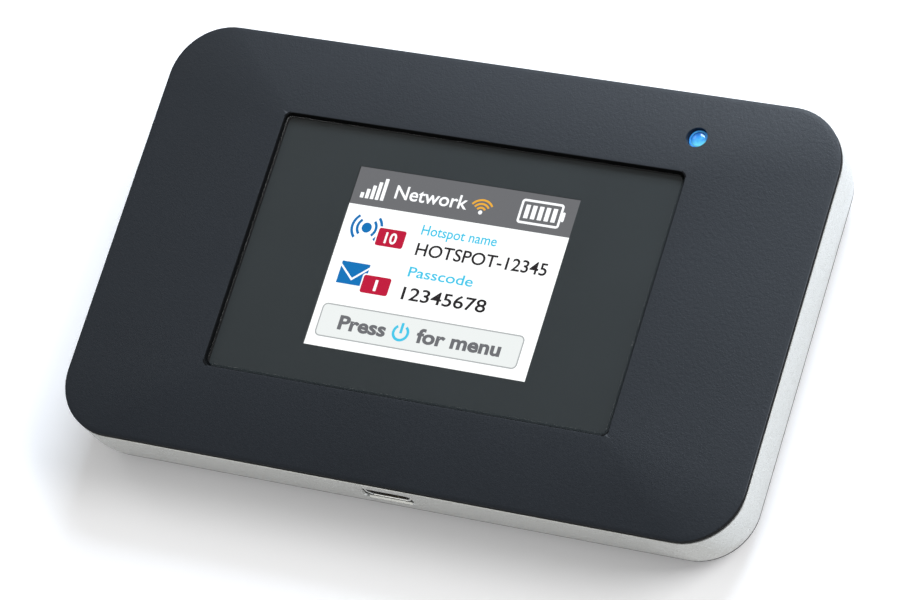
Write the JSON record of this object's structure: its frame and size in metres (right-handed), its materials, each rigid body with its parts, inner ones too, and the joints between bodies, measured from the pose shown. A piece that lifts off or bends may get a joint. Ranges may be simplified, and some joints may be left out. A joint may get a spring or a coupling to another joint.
{
  "type": "mobile hotspot",
  "caption": "Pocket battery-powered wireless router with a hipped graphite face, a small colour display, a silver band, a lift-off back cover and a micro-USB socket.",
  "frame": {"origin": "centre of the flat back face", "axes": "+X to the right of the display, +Y to the top edge with the power button, +Z out of the display"},
  "size_m": [0.108, 0.0668, 0.0145],
  "materials": {
    "graphite_soft_touch": "fine soft-touch satin",
    "black_moulding": "fine moulded texture",
    "silver_satin": "satin silver paint",
    "smoked_window": "hard-coated clear window",
    "printed_black": "printed black",
    "light_pipe": "clear blue moulding",
    "display_glass": "display glass",
    "white_moulding": "plain moulding",
    "board_green": "solder mask",
    "chip_black": "moulded epoxy",
    "tinned_steel": "tinned sheet",
    "gold_contact": "gold plated",
    "copper_strip": "plated copper",
    "flex_film": "polyimide film",
    "foam": "closed-cell foam",
    "graphite_sheet": "graphite sheet",
    "paper_label": "blank paper",
    "battery_wrap": "satin battery wrap"
  },
  "bodies": {
    "back_cover": {"back_cover": "black_moulding", "battery_pad": "foam"},
    "housing": {"baseband_chip": "chip_black", "baseband_shield": "tinned_steel", "battery_connector": "black_moulding", "battery_springs": "gold_contact", "bay_label": "paper_label", "board_passives": "chip_black", "case_screws": "tinned_steel", "display_frame": "black_moulding", "display_gasket": "foam", "display_lens": "smoked_window", "front_cover": "graphite_soft_touch", "heat_spreader": "graphite_sheet", "lcd_backlight_frame": "white_moulding", "lcd_connector": "black_moulding", "lcd_flex": "flex_film", "lcd_glass": "display_glass", "lcd_light_guide": "light_pipe", "lcd_polariser": "printed_black", "led_light_pipe": "light_pipe", "lens_adhesive": "printed_black", "lens_mask": "printed_black", "main_antenna": "copper_strip", "main_antenna_carrier": "black_moulding", "main_board": "board_green", "memory_chip": "chip_black", "power_chip": "chip_black", "power_shield": "tinned_steel", "power_switch_body": "black_moulding", "rear_chassis": "black_moulding", "reset_switch_body": "black_moulding", "rf_chip": "chip_black", "rf_shield": "tinned_steel", "side_band": "silver_satin", "sim_base": "black_moulding", "sim_cage": "tinned_steel", "status_led": "white_moulding", "thermal_pad": "foam", "usb_contacts": "gold_contact", "usb_shell": "tinned_steel", "usb_tongue": "chip_black", "wifi_antenna": "copper_strip", "wifi_antenna_carrier": "black_moulding", "wifi_chip": "chip_black", "wifi_shield": "tinned_steel"},
    "battery": {"battery_pack": "battery_wrap", "battery_label": "paper_label", "battery_contacts": "gold_contact"},
    "power_button": {"power_button": "silver_satin"},
    "power_plunger": {"power_switch_plunger": "white_moulding"},
    "reset_plunger": {"reset_plunger": "white_moulding"},
    "sim_card": {"sim_card": "white_moulding"}
  },
  "joints": [
    {"name": "housing_lift", "type": "slide", "parent": "back_cover", "child": "housing", "axis": [0, 0, 1], "range_m": [0, 0.026]},
    {"name": "battery_lift", "type": "slide", "parent": "housing", "child": "battery", "axis": [0, 0, -1], "range_m": [0, 0.0117]},
    {"name": "power_button_press", "type": "slide", "parent": "housing", "child": "power_button", "axis": [0, -1, 0], "range_m": [0, 0.00035], "stiffness_N_per_m": 3000, "springref_m": -0.0001},
    {"name": "power_plunger_press", "type": "slide", "parent": "housing", "child": "power_plunger", "axis": [0, -1, 0], "range_m": [0, 0.00035]},
    {"name": "reset_press", "type": "slide", "parent": "housing", "child": "reset_plunger", "axis": [0, 0, 1], "range_m": [0, 0.00025], "stiffness_N_per_m": 3000, "springref_m": -0.0001},
    {"name": "sim_card_slide", "type": "slide", "parent": "housing", "child": "sim_card", "axis": [0, -1, 0], "range_m": [0, 0.014]}
  ],
  "couplings": [
    {"joint": "battery_lift", "follows": "housing_lift", "ratio": 0.45},
    {"joint": "power_plunger_press", "follows": "power_button_press", "ratio": 1}
  ]
}
